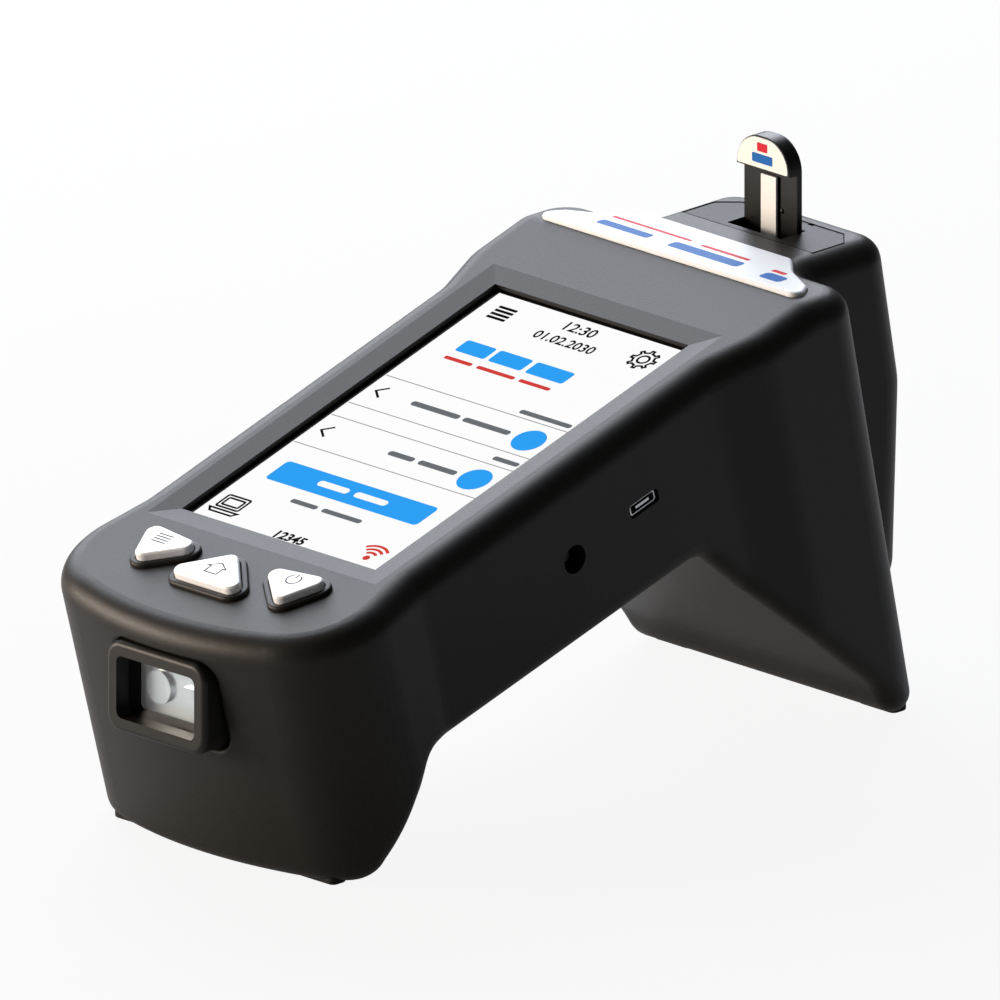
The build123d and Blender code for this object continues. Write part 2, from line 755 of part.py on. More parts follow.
with BuildPart() as scan_bracket:
    with BuildSketch(front(bezel_rear_y + bracket_thickness)):
        with Locations((0, bezel_z)):
            Rectangle(*flange_size)
            Rectangle(engine_size[0] + 2 * seam, engine_size[2] + 2 * seam, mode=Mode.SUBTRACT)
    extrude(amount=bracket_thickness)
    with BuildSketch(front(engine_y + engine_size[1])):
        with Locations((0, bezel_z - engine_size[2] / 2 - seam - bracket_thickness / 2)):
            Rectangle(engine_size[0], bracket_thickness)
    extrude(amount=engine_y + engine_size[1] - bezel_rear_y - bracket_thickness)
scan_bracket.part.label = "scan_bracket"

# --- Badge and slot plate ---

with BuildPart() as badge:
    with BuildSketch(level(tower_top_z - badge_recess)) as badge_face:
        with BuildLine():
            FilletPolyline(*badge_outline, *left_side, radius=badge_radii + badge_radii[::-1], close=True)
        make_face()
        offset(amount=-seam)
    extrude(amount=badge_recess + badge_rise)
    fillet(badge.faces().sort_by(Axis.Z)[-1].edges(), badge_edge)
badge.part.label = "badge"

with BuildPart() as slot_plate:
    with BuildSketch(level(plate_z - plate_thickness)):
        add(plate_pocket.sketch_local)
        offset(amount=-seam)
        with Locations((0, (slot_front_y + slot_rear_y) / 2)):
            Rectangle(2 * slot_half, slot_rear_y - slot_front_y, mode=Mode.SUBTRACT)
        with Locations((-notch_x, plate_rear_y), (notch_x, plate_rear_y)):
            Rectangle(notch_size[0], 2 * notch_size[1], mode=Mode.SUBTRACT)
    extrude(amount=plate_thickness)
slot_plate.part.label = "slot_plate"

# --- Strip holder ---

holder_low_z = plate_z - holder_below
shoulder_z = plate_z + holder_shoulder
head_top_z = shoulder_z + head_height
strip_rear_y = holder_front_y - land_rise
strip_front_y = strip_rear_y - strip_thickness

with BuildPart() as strip_holder:
    with BuildSketch(front(holder_rear_y)):
        with Locations((0, (holder_low_z + shoulder_z + head_height) / 2)):
            Rectangle(holder_width, shoulder_z + head_height - holder_low_z)
    extrude(amount=holder_rear_y - holder_front_y)
    with BuildSketch(front(holder_rear_y)):
        with Locations((0, shoulder_z + head_height / 2)):
            Rectangle(holder_width, head_height)
    extrude(amount=holder_rear_y - head_front_y)
    crown = strip_holder.edges().filter_by(Axis.Y).group_by(Axis.Z)[-1]
    fillet(crown, head_corner)
    toes = strip_holder.edges().filter_by(Axis.Y).group_by(Axis.Z)[0]
    chamfer(toes, toe_chamfer)
    with BuildSketch(front(holder_front_y)):
        with Locations((0, (holder_low_z + shoulder_z) / 2)):
            Rectangle(land_width, shoulder_z - holder_low_z - 2 * strip_start)
    extrude(amount=land_rise)
    with BuildSketch(front(holder_front_y)):
        for x in (-1, 1):
            with Locations((x * (land_width + groove_width) / 2, (holder_low_z + shoulder_z) / 2)):
                Rectangle(groove_width, shoulder_z - holder_low_z - 2 * strip_start)
    extrude(amount=-groove_depth, mode=Mode.SUBTRACT)
strip_holder.part.label = "strip_holder"

with BuildPart() as holder_label:
    with BuildSketch(front(head_front_y)) as label_face:
        with Locations((0, shoulder_z + head_height / 2)):
            Rectangle(holder_width - 2 * label_inset, head_height - 2 * label_inset)
        top_corners = label_face.vertices().group_by(Axis.Y)[-1]
        fillet(top_corners, head_corner - 2 * label_inset)
        fillet(label_face.vertices().group_by(Axis.Y)[0], label_toe)
    extrude(amount=label_thickness)
holder_label.part.label = "holder_label"

with BuildPart() as test_strip:
    with BuildSketch(front(strip_rear_y)):
        with Locations((0, (holder_low_z + shoulder_z) / 2)):
            Rectangle(strip_width, shoulder_z - holder_low_z - 2 * strip_start)
    extrude(amount=strip_thickness)
test_strip.part.label = "test_strip"

# --- Reader in the tower ---

channel_half_x = holder_width / 2 + guide_play
channel_front_y, channel_rear_y = strip_front_y - guide_play, holder_rear_y + guide_play
guide_front_y, guide_rear_y = channel_front_y - guide_wall, channel_rear_y + guide_wall
guide_low_z = holder_low_z - guide_rest - guide_floor
funnel_z = roof_z - funnel_depth
chamber_front_y = guide_front_y - chamber_length
light_front_y = chamber_front_y - light_thickness
camera_y = light_front_y - camera_gap


def four_about(x, z):
    """Four places round the middle of the read window."""
    return [(-x, read_z - z), (x, read_z - z), (-x, read_z + z), (x, read_z + z)]



def channel_face(z, grow_x, front_y, rear_y):
    """A rectangle across the holder's channel at the height z."""
    with BuildSketch(level(z)) as face:
        with Locations((0, (front_y + rear_y) / 2)):
            Rectangle(2 * (channel_half_x + grow_x), rear_y - front_y)
    return face.sketch


with BuildPart() as strip_guide:
    extrude(channel_face(guide_low_z, guide_wall, guide_front_y, guide_rear_y), amount=funnel_z - guide_low_z)
    add(channel_face(funnel_z, guide_wall, guide_front_y, guide_rear_y))
    add(channel_face(roof_z, guide_wall, slot_front_y - guide_wall, slot_rear_y + guide_wall))
    loft(ruled=True)
    extrude(
        channel_face(guide_low_z + guide_floor, 0, channel_front_y, channel_rear_y),
        amount=funnel_z - guide_low_z - guide_floor,
        mode=Mode.SUBTRACT,
    )
    add(channel_face(funnel_z, 0, channel_front_y, channel_rear_y))
    add(channel_face(roof_z, 0, slot_front_y, slot_rear_y))
    loft(ruled=True, mode=Mode.SUBTRACT)
    with BuildSketch(front(channel_front_y + seam)):
        with Locations((0, read_z)):
            Rectangle(*read_window)
    extrude(amount=guide_wall + 2 * seam, mode=Mode.SUBTRACT)
strip_guide.part.label = "strip_guide"

with BuildPart() as light_chamber:
    with BuildSketch(front(guide_front_y)):
        with Locations((0, read_z)):
            Rectangle(*chamber_size)
            Rectangle(*[side_length - 2 * chamber_wall for side_length in chamber_size], mode=Mode.SUBTRACT)
    extrude(amount=chamber_length)
light_chamber.part.label = "light_chamber"

with BuildPart() as light_board:
    with BuildSketch(front(chamber_front_y)):
        with Locations((0, read_z)):
            Rectangle(*chamber_size)
            Circle(camera_bore / 2, mode=Mode.SUBTRACT)
    extrude(amount=light_thickness)
light_board.part.label = "light_board"

with BuildPart() as light_leds:
    with BuildSketch(front(chamber_front_y)):
        with Locations(*four_about(*led_spots)):
            Rectangle(led_size[0], led_size[1])
    extrude(amount=-led_size[2])
light_leds.part.label = "light_leds"

with BuildPart() as camera_standoffs:
    with BuildSketch(front(light_front_y)):
        with Locations(*four_about(*standoff_spots)):
            Circle(standoff_radius)
    extrude(amount=camera_gap)
camera_standoffs.part.label = "camera_standoffs"

with BuildPart() as camera_board:
    with BuildSketch(front(camera_y)):
        with Locations((0, read_z)):
            Rectangle(*chamber_size)
    extrude(amount=camera_board_thickness)
camera_board.part.label = "camera_board"

with BuildPart() as camera_barrel:
    with BuildSketch(front(camera_y)):
        with Locations((0, read_z)):
            Circle(barrel_radius)
    extrude(amount=-barrel_length)
    with BuildSketch(front(camera_y + barrel_length)):
        with Locations((0, read_z)):
            Circle(barrel_radius * 0.6)
    extrude(amount=barrel_dish, mode=Mode.SUBTRACT)
camera_barrel.part.label = "camera_barrel"

# --- Ribbon cables ---


def ribbon(label, width, places):
    """A flat cable that runs along the given places of the long section, its bends rounded."""
    with BuildPart() as cable:
        with BuildLine(side):
            run = FilletPolyline(*places, radius=ribbon_bend)
        with BuildSketch(Plane(origin=run @ 0, x_dir=(1, 0, 0), z_dir=run % 0)):
            Rectangle(width, ribbon_thickness)
        sweep(path=run)
    cable.part.label = label
    return cable.part


lay = ribbon_thickness / 2
display_ribbon = ribbon(
    "display_ribbon",
    display_ribbon_width,
    [
        on_deck(display_ribbon_y, panel_h - lay),
        on_deck(display_ribbon_y + 20, panel_h - lay),
        on_deck(display_ribbon_y + 20, parting_h + lay),
        on_deck(display_ribbon_y + 11, parting_h + lay),
    ],
)
engine_rear_y = engine_y + engine_size[1]
scanner_ribbon = ribbon(
    "scanner_ribbon",
    scanner_ribbon_width,
    [
        (engine_rear_y + lay, bezel_z - 4),
        (engine_rear_y + lay, bezel_z + 10),
        on_deck(-board_half_y - 6, parting_h + lay),
        on_deck(-board_half_y + 7, parting_h + lay),
    ],
)
camera_ribbon = ribbon(
    "camera_ribbon",
    camera_ribbon_width,
    [
        (camera_y - camera_board_thickness - lay, read_z - 12),
        (camera_y - camera_board_thickness - lay, read_z + 4),
        on_deck(board_half_y + 8, parting_h + lay),
        on_deck(board_half_y - 7, parting_h + lay),
    ],
)

# --- Feet ---


def foot(label, x, y):
    """A rubber foot let into the bottom, its wearing face rounded off."""
    with BuildPart() as pad:
        with BuildSketch(level(foot_height)):
            with Locations((x, y)):
                RectangleRounded(*foot_size, foot_corner)
        extrude(amount=-foot_height)
        fillet(pad.faces().sort_by(Axis.Z)[0].edges(), foot_edge)
    pad.part.label = label
    return pad.part


feet = [
    foot(f"foot_{where}_{hand}", (1 if hand == "right" else -1) * x, y)
    for where, (x, y) in foot_spots.items()
    for hand in ("left", "right")
]

pieces = [housing_top.part, housing_bottom.part, display_glass, display_gasket.part, display_panel]
pieces += [key_list, key_home, key_power, keypad_membrane.part, keypad_board.part, keypad_screws.part]
pieces += [main_board.part, board_chips.part, usb_socket.part, dc_jack.part, buzzer.part, antenna]
pieces += [battery_pack, battery_cradle.part, housing_screws.part]
pieces += [scanner_bezel.part, scanner_window.part, scan_engine.part, scan_bracket.part]
pieces += [badge.part, slot_plate.part, strip_holder.part, holder_label.part, test_strip.part]
pieces += [strip_guide.part, light_chamber.part, light_board.part, light_leds.part]
pieces += [camera_standoffs.part, camera_board.part, camera_barrel.part]
pieces += [display_ribbon, scanner_ribbon, camera_ribbon, *feet]

os.makedirs("parts", exist_ok=True)
for piece in pieces:
    export_step(piece, f"parts/{piece.label}.step")
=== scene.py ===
import math

import bmesh
import bpy
from mathutils import Matrix, Vector
from mathutils.geometry import convex_hull_2d


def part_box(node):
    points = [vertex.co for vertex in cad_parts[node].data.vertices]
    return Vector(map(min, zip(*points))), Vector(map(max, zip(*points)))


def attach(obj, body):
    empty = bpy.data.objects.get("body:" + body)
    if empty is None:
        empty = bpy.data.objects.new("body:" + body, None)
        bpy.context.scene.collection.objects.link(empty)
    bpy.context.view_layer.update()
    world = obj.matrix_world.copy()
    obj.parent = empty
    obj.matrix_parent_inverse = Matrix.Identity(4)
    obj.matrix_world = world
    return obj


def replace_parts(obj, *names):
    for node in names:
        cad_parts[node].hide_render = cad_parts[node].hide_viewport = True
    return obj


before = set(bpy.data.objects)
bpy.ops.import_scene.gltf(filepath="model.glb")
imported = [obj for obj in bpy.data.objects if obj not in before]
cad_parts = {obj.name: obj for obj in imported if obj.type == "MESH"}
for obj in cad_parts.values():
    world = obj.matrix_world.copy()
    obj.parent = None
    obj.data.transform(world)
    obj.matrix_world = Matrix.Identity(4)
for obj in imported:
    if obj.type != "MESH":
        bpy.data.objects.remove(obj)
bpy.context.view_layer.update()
print("frame loaded,", len(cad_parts), "nodes")

mm = 0.001
place = {"tilt": 16.5, "y": -17.05, "z": 77.0}  # middle of the screen, in mm and degrees
leanSin = math.sin(math.radians(place["tilt"]))
leanCos = math.cos(math.radians(place["tilt"]))

# local x across, local y up the tilted top, local z square to it, in mm
deckFrame = Matrix((
    (mm, 0, 0, 0),
    (0, mm * leanCos, -mm * leanSin, place["y"] * mm),
    (0, mm * leanSin, mm * leanCos, place["z"] * mm),
    (0, 0, 0, 1),
))


def levelFrame(height):
    return Matrix.Translation((0, place["y"] * mm, height)) @ Matrix.Scale(mm, 4)


def frontFrame(y):
    # local x across, local y up, local z towards the user
    turn = Matrix(((1, 0, 0, 0), (0, 0, -1, 0), (0, 1, 0, 0), (0, 0, 0, 1)))
    return Matrix.Translation((0, y, 0)) @ turn @ Matrix.Scale(mm, 4)


def linear(hexColour):
    # sRGB hex to the linear values that shaders take
    parts = [int(hexColour[i:i + 2], 16) / 255 for i in (1, 3, 5)]
    return [c / 12.92 if c <= 0.04045 else ((c + 0.055) / 1.055) ** 2.4 for c in parts] + [1.0]


def addNode(tree, kind, links=(), **settings):
    # links are (socket name or number, other socket) pairs
    node = tree.nodes.new(kind)
    for key, value in settings.items():
        if hasattr(node, key):
            setattr(node, key, value)
        else:
            node.inputs[key.replace("_", " ")].default_value = value
    for socket, source in links:
        tree.links.new(source, node.inputs[socket])
    return node


def newMaterial(name, colour, **shaderValues):
    material = bpy.data.materials.new(name)
    material.use_nodes = True
    shader = material.node_tree.nodes["Principled BSDF"]
    shader.inputs["Base Color"].default_value = linear(colour)
    for key, value in shaderValues.items():
        shader.inputs[key.replace("_", " ")].default_value = value
    material.diffuse_color = linear(colour)
    return material, material.node_tree, shader


def addBump(tree, shader, height, strength, depth):
    bump = addNode(tree, "ShaderNodeBump", [("Height", height)], Strength=strength, Distance=depth * mm)
    tree.links.new(bump.outputs["Normal"], shader.inputs["Normal"])


def addNoise(tree, size, detail, source=None):
    # a noise whose features are about size mm long
    if source is None:
        source = addNode(tree, "ShaderNodeTexCoord").outputs["Object"]
    return addNode(tree, "ShaderNodeTexNoise", [("Vector", source)], Scale=1 / (size * mm), Detail=detail)


def sparkErodedPlastic(name, colour, grain, depth, roughness, tintTo=None, gloss=0.27):
    # moulded in a spark-eroded tool: a fine even grain that scatters half the gloss, and an uneven sheen
    material, tree, shader = newMaterial(name, colour, Roughness=roughness, IOR=1.49)
    shader.inputs["Specular IOR Level"].default_value = gloss
    fine = addNoise(tree, grain, detail=3.0)
    addBump(tree, shader, fine.outputs["Fac"], strength=0.5, depth=depth)
    swing = 0.09  # how far the roughness strays from its mean, either way
    sheen = addNode(tree, "ShaderNodeMapRange", [("Value", fine.outputs["Fac"])],
                    To_Min=roughness - swing, To_Max=roughness + swing)
    tree.links.new(sheen.outputs["Result"], shader.inputs["Roughness"])
    if tintTo:
        wide = addNoise(tree, size=35.0, detail=2.0)  # the shade drifts slowly along the part
        ramp = addNode(tree, "ShaderNodeValToRGB", [("Fac", wide.outputs["Fac"])])
        ramp.color_ramp.elements[0].color = linear(colour)
        ramp.color_ramp.elements[1].color = linear(tintTo)
        tree.links.new(ramp.outputs["Color"], shader.inputs["Base Color"])
    return material


def glossPlastic(name, colour, roughness):
    # polished moulding: a faint orange-peel swell a few mm long under the shine
    material, tree, shader = newMaterial(name, colour, Roughness=roughness, IOR=1.5, Coat_Weight=0.3)
    swell = addNoise(tree, size=4.0, detail=1.0)
    addBump(tree, shader, swell.outputs["Fac"], strength=0.3, depth=0.004)
    return material


def brushedMetal(name, colour, roughness, direction):
    # rolled or drawn metal: fine lines along one way
    material, tree, shader = newMaterial(name, colour, Metallic=1.0, Roughness=roughness)
    coords = addNode(tree, "ShaderNodeTexCoord")
    stretch = addNode(tree, "ShaderNodeMapping", [("Vector", coords.outputs["Object"])], Scale=direction)
    lines = addNoise(tree, size=0.3, detail=2.0, source=stretch.outputs["Vector"])
    addBump(tree, shader, lines.outputs["Fac"], strength=0.4, depth=0.01)
    return material


def litInk(name, colour, strength):
    # what the screen shows: coloured light behind an anti-glare glass, so no lamp is mirrored in it
    return newMaterial(name, "#000000", Roughness=0.6, IOR=1.5, Specular_IOR_Level=0.0,
                       Emission_Color=linear(colour), Emission_Strength=strength)[0]


def printedInk(name, colour, roughness):
    # screen-printed ink: thin and satin, with a faint mesh mottle 0.4 mm across
    material, tree, shader = newMaterial(name, colour, Roughness=roughness, IOR=1.48,
                                         Specular_IOR_Level=0.12)
    mottle = addNoise(tree, size=0.4, detail=1.0)
    addBump(tree, shader, mottle.outputs["Fac"], strength=0.3, depth=0.004)
    return material


def clearAcrylic(name, colour, roughness):
    # polished cast sheet: almost colourless, with a sharp mirror of the lamps
    return newMaterial(name, colour, Roughness=roughness, IOR=1.49, Transmission_Weight=1.0)[0]


finish = {
    "housing": sparkErodedPlastic("charcoalAbsSparkEroded", "#1b1917", 0.35, 0.06, 0.44, "#201e1b", 0.24),
    "foot": sparkErodedPlastic("blackSiliconeRubber", "#151515", 0.5, 0.03, 0.7),
    "holder": sparkErodedPlastic("blackAcetalMoulded", "#101010", 0.4, 0.02, 0.34),
    "plate": sparkErodedPlastic("charcoalAbsInsertPlate", "#161616", 0.3, 0.04, 0.46, gloss=0.17),
    "bezel": sparkErodedPlastic("charcoalAbsFrame", "#1c1b19", 0.35, 0.04, 0.42),
    "key": glossPlastic("whiteGlossKeyCap", "#f2f3f5", 0.14),
    "badge": sparkErodedPlastic("domedWhiteResinBadge", "#eef0f2", 3.0, 0.004, 0.4, gloss=0.2),
    "board": glossPlastic("greenSolderMaskBoard", "#1b4d2c", 0.35),
    "chip": sparkErodedPlastic("blackEpoxyPackage", "#1a1a1a", 0.2, 0.01, 0.5),
    "steel": brushedMetal("brightTinnedSteel", "#c9ccd0", 0.22, (1.0, 0.08, 1.0)),
    "tray": brushedMetal("zincPlatedTray", "#b5b8bb", 0.35, (0.08, 1.0, 1.0)),
    "film": glossPlastic("amberPolyimideFilm", "#a8742a", 0.25),
    "cell": glossPlastic("blueShrinkFilm", "#2f4f8c", 0.3),
    "jack": sparkErodedPlastic("blackNylonSocket", "#0c0c0c", 0.3, 0.01, 0.4),
    "engine": brushedMetal("castWhiteMetalModule", "#eceff3", 0.32, (1.0, 1.0, 1.0)),
    "paper": printedInk("whiteTestPaper", "#fbfbf8", 0.8),
    "label": printedInk("whitePrintedLabel", "#f8f7f0", 0.4),
    "inkBlue": printedInk("bluePrintedInk", "#1466b4", 0.5),
    "inkRed": printedInk("redPrintedInk", "#d21f34", 0.5),
    "inkGrey": printedInk("greyPrintedInk", "#3c4046", 0.6),
    # painted shade: near-black ink that stands for the shadow inside the gap round the slot plate
    "seamShade": printedInk("paintedSeamShade", "#040404", 0.9),
    "lamp": glossPlastic("amberLampResin", "#e8a850", 0.2),
    "lens": brushedMetal("blackAnodisedBarrel", "#16161a", 0.35, (1.0, 1.0, 0.1)),
    "litWhite": litInk("litWhitePixels", "#ffffff", 0.98),
    "litBlue": litInk("litBluePixels", "#2fa2f8", 0.97),
    "litBlack": litInk("darkPixels", "#101214", 0.8),
    "litWords": litInk("greyedPixels", "#6d7176", 0.95),  # the mean shade of small dark words
    "litGrey": litInk("litGreyPixels", "#a8a8a8", 0.9),
    "litRed": litInk("litRedPixels", "#d8403c", 0.95),
    "window": clearAcrylic("clearAcrylicWindow", "#e9eceb", 0.03),
}
print("materials made,", len(finish))

nodeFinish = {
    "housing": ("housing_top", "housing_bottom"),
    "foot": ("display_gasket", "keypad_membrane", "foot_front_left", "foot_front_right", "foot_rear_left",
             "foot_rear_right"),
    "tray": ("display_panel", "scan_bracket"),
    "key": ("key_list", "key_home", "key_power"),
    "board": ("keypad_board", "main_board", "light_board", "camera_board"),
    "steel": ("keypad_screws", "usb_socket", "housing_screws", "camera_standoffs"),
    "chip": ("board_chips", "buzzer"),
    "jack": ("dc_jack", "battery_cradle", "strip_guide", "light_chamber", "display_glass"),
    "film": ("antenna", "display_ribbon", "scanner_ribbon", "camera_ribbon"),
    "cell": ("battery_pack",), "bezel": ("scanner_bezel",), "window": ("scanner_window",),
    "engine": ("scan_engine",), "badge": ("badge",), "plate": ("slot_plate",), "holder": ("strip_holder",),
    "label": ("holder_label",), "paper": ("test_strip",), "lamp": ("light_leds",),
    "lens": ("camera_barrel",),
}
for look, names in nodeFinish.items():
    for name in names:
        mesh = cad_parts[name].data
        mesh.materials.clear()
        mesh.materials.append(finish[look])
        for polygon in mesh.polygons:
            polygon.material_index = 0
print("finishes given to the nodes")


def addPiece(name, work, toRow, look, body):
    # a finished bmesh, drawn in mm in a local frame, becomes a piece with its place in its mesh
    work.transform(toRow)
    bmesh.ops.recalc_face_normals(work, faces=work.faces[:])
    mesh = bpy.data.meshes.new(name)
    work.to_mesh(mesh)
    work.free()
    mesh.materials.append(finish[look])
    piece = bpy.data.objects.new(name, mesh)
    bpy.context.scene.collection.objects.link(piece)
    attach(piece, body)
    return piece


def addOutline(work, points, low, high):
    # a flat shape between two heights, from its corners
    face = work.faces.new([work.verts.new((x, y, low)) for x, y in points])
    raised = bmesh.ops.extrude_face_region(work, geom=[face])["geom"]
    corners = [part for part in raised if isinstance(part, bmesh.types.BMVert)]
    bmesh.ops.translate(work, verts=corners, vec=(0, 0, high - low))


def ringPoints(x, y, radius, count=28, start=0.0, turn=360.0, closed=True):
    steps = count if closed else count - 1
    return [(x + radius * math.cos(math.radians(start + turn * i / steps)),
             y + radius * math.sin(math.radians(start + turn * i / steps))) for i in range(count)]


def boxPoints(halfX, halfY):
    return [(halfX, halfY), (-halfX, halfY), (-halfX, -halfY), (halfX, -halfY)]


def roundedBox(x, y, width, height, radius):
    points = []
    reachX, reachY = width / 2 - radius, height / 2 - radius
    for sideX, sideY, start in ((1, 1, 0), (-1, 1, 90), (-1, -1, 180), (1, -1, 270)):
        points += ringPoints(x + sideX * reachX, y + sideY * reachY, radius, 7, start, 90.0, False)
    return points


def addStroke(work, points, thickness, low, high, closed=False):
    # a line of even thickness through the points, mitred at its corners
    shortest, leastCosine = 1e-6, 0.4  # a step that counts as none, and the limit of a sharp mitre
    count = len(points)
    left, right = [], []
    for i, (x, y) in enumerate(points):
        before = Vector(points[i - 1 if i or closed else i])
        after = Vector(points[(i + 1) % count if i < count - 1 or closed else i])
        here = Vector((x, y))
        ways = [way.normalized() for way in (here - before, after - here) if way.length > shortest]
        along = sum(ways, Vector((0, 0))).normalized()
        across = Vector((-along.y, along.x))
        reach = thickness / 2 / max(leastCosine, abs(across.dot(Vector((-ways[0].y, ways[0].x)))))
        left.append(here + across * reach)
        right.append(here - across * reach)
    for i in range(count if closed else count - 1):
        j = (i + 1) % count
        addOutline(work, [left[i], left[j], right[j], right[i]], low, high)


# the screen: its cover glass, and the picture on it in thin raised shapes
screen = {
    "pictureHalf": (26.93, 47.52), "glassHalf": (30.35, 50.1), "glassDepth": 1.1,
    "sheetTop": -0.01, "pictureLow": -0.005, "picture": 0.02, "ink": 0.05,  # heights over its plane
    "overInk": 0.03, "buttonCorner": 1.1, "icon": 0.55, "rule": 0.28,
}
glassTop, inkTop = screen["picture"], screen["ink"]

work = bmesh.new()
addOutline(work, boxPoints(*screen["glassHalf"]), -screen["glassDepth"], screen["sheetTop"])
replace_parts(addPiece("displayGlassSheet", work, deckFrame, "jack", "housing"),
            "display_glass")
work = bmesh.new()
addOutline(work, boxPoints(*screen["pictureHalf"]), screen["pictureLow"], glassTop)
addPiece("screenPicture", work, deckFrame, "litWhite", "housing")
print("screen glass made")

# what the screen shows, in mm from its middle; a box or bar is its x, y, width and height
blueBoxes = ((0.0, -26.0, 44.4, 7.4), (-15.6, 28.4, 8.6, 4.4), (-5.4, 28.4, 9.6, 4.4),
             (6.2, 28.4, 11.0, 4.4))
redBars = ((-16.0, 23.4, 8.0, 1.1), (-5.0, 23.4, 11.0, 1.1), (6.4, 23.4, 9.0, 1.1))
whiteBars = ((-5.4, -26.0, 8.8, 1.9), (5.6, -26.0, 9.4, 1.9))
wordBars = (  # plain bars where words would be
    (18.4, 14.3, 15.0, 1.4), (22.4, -2.1, 7.4, 1.4), (8.4, 6.6, 13.6, 1.6), (-6.6, 6.6, 14.0, 1.6),
    (10.2, -10.4, 11.0, 1.6), (-0.4, -10.4, 7.4, 1.6), (4.4, -33.8, 11.4, 1.4), (-6.6, -33.8, 7.6, 1.4),
)
disc = {"x": 21.1, "rows": (6.3, -10.4), "radius": 3.9}
rule = {"half": 26.6, "rows": (12.4, 0.8, -4.4, -16.0)}
chevron = {"rows": (6.8, -10.0), "shape": ((-22.1, 2.0), (-24.3, 0.0), (-21.9, -1.9))}
listMark = {"left": -23.1, "right": -17.9, "top": 43.5, "step": 1.3, "bars": 4, "line": 0.8}
laptop = {"middle": (-21.3, -40.1), "lid": (6.4, 4.4, 0.5), "pane": (4.6, 2.6, 0.3),
          "base": ((-25.3, -43.2), (-17.3, -43.2), (-18.2, -44.3), (-24.4, -44.3))}
gear = {"middle": (21.4, 41.2), "hole": 1.35, "teeth": 8,
        "tooth": ((-9, 2.55), (-6, 3.35), (6, 3.35), (9, 2.55))}  # degrees and radius of its corners
wireless = {"middle": (21.3, -43.9), "dot": 0.85, "arcs": (2.0, 3.3, 4.6), "start": 46.0, "turn": 88.0,
            "line": 0.7}


def addBars(work, bars, low=glassTop, high=inkTop, corner=0.45):
    # corner is the share of a bar's height that its corners are rounded by
    for x, y, width, height in bars:
        radius = min(height * corner, screen["buttonCorner"])
        addOutline(work, roundedBox(x, y, width, height, radius), low, high)


def drawBlue(work):
    addBars(work, blueBoxes, corner=0.16)
    for y in disc["rows"]:
        addOutline(work, ringPoints(disc["x"], y, disc["radius"]), glassTop, inkTop)


def drawRed(work):
    addBars(work, redBars)
    addOutline(work, ringPoints(*wireless["middle"], wireless["dot"]), glassTop, inkTop)
    for radius in wireless["arcs"]:
        arc = ringPoints(*wireless["middle"], radius, 10, wireless["start"], wireless["turn"], False)
        addStroke(work, arc, wireless["line"], glassTop, inkTop)


def drawWhite(work):
    addBars(work, whiteBars, inkTop, inkTop + screen["overInk"])


def drawWords(work):
    addBars(work, wordBars)


def drawGrey(work):
    for y in rule["rows"]:
        addStroke(work, [(-rule["half"], y), (rule["half"], y)], screen["rule"], glassTop, inkTop)


def drawBlack(work):
    for i in range(listMark["bars"]):
        y = listMark["top"] - listMark["step"] * i
        addStroke(work, [(listMark["left"], y), (listMark["right"], y)], listMark["line"], glassTop, inkTop)
    for y in chevron["rows"]:
        addStroke(work, [(x, y + rise) for x, rise in chevron["shape"]], screen["icon"], glassTop, inkTop)
    lid = roundedBox(*laptop["middle"], *laptop["lid"])
    pane = roundedBox(*laptop["middle"], *laptop["pane"])
    gearX, gearY = gear["middle"]
    teeth = []
    for i in range(gear["teeth"]):
        for angle, radius in gear["tooth"]:
            way = math.radians(360 / gear["teeth"] * i + angle)
            teeth.append((gearX + radius * math.cos(way), gearY + radius * math.sin(way)))
    hole = ringPoints(gearX, gearY, gear["hole"])
    for points in (lid, pane, laptop["base"], teeth, hole):
        addStroke(work, points, screen["icon"], glassTop, inkTop, True)


screenPieces = {
    "screenBlue": (drawBlue, "litBlue"),
    "screenRed": (drawRed, "litRed"),
    "screenButtonMarks": (drawWhite, "litWhite"),
    "screenWordBars": (drawWords, "litWords"),
    "screenRules": (drawGrey, "litGrey"),
    "screenMarks": (drawBlack, "litBlack"),
}
for name, (draw, look) in screenPieces.items():
    work = bmesh.new()
    draw(work)
    addPiece(name, work, deckFrame, look, "housing")

digits = {  # text, x, y, size and how much heavier than the plain face
    "screenClock": ("12:30", 0.0, 43.9, 4.3, 0.07), "screenDay": ("01.02.2030", 0.4, 38.8, 3.9, 0.07),
    "screenCount": ("12345", 0.0, -45.3, 3.6, 0.13),
}
digitHalf, digitMiddle, weldWithin = 0.015, 0.016, 0.001  # half their thickness, and its middle's height
for name, (text, x, y, size, heavier) in digits.items():
    # plain numbers, made a mesh before they get their place
    curve = bpy.data.curves.new(name, "FONT")
    curve.body, curve.size, curve.align_x, curve.align_y = text, size, "CENTER", "CENTER"
    curve.extrude, curve.offset, curve.resolution_u = digitHalf, heavier, 3
    writing = bpy.data.objects.new(name + "Curve", curve)
    bpy.context.scene.collection.objects.link(writing)
    bpy.context.view_layer.update()
    flat = bpy.data.meshes.new_from_object(writing.evaluated_get(bpy.context.evaluated_depsgraph_get()))
    bpy.data.objects.remove(writing)
    work = bmesh.new()
    work.from_mesh(flat)
    bpy.data.meshes.remove(flat)
    bmesh.ops.remove_doubles(work, verts=work.verts[:], dist=weldWithin)
    bmesh.ops.translate(work, verts=work.verts[:], vec=(x, y, glassTop + digitMiddle))
    addPiece(name, work, deckFrame, "litBlack", "housing")
print("screen picture made")

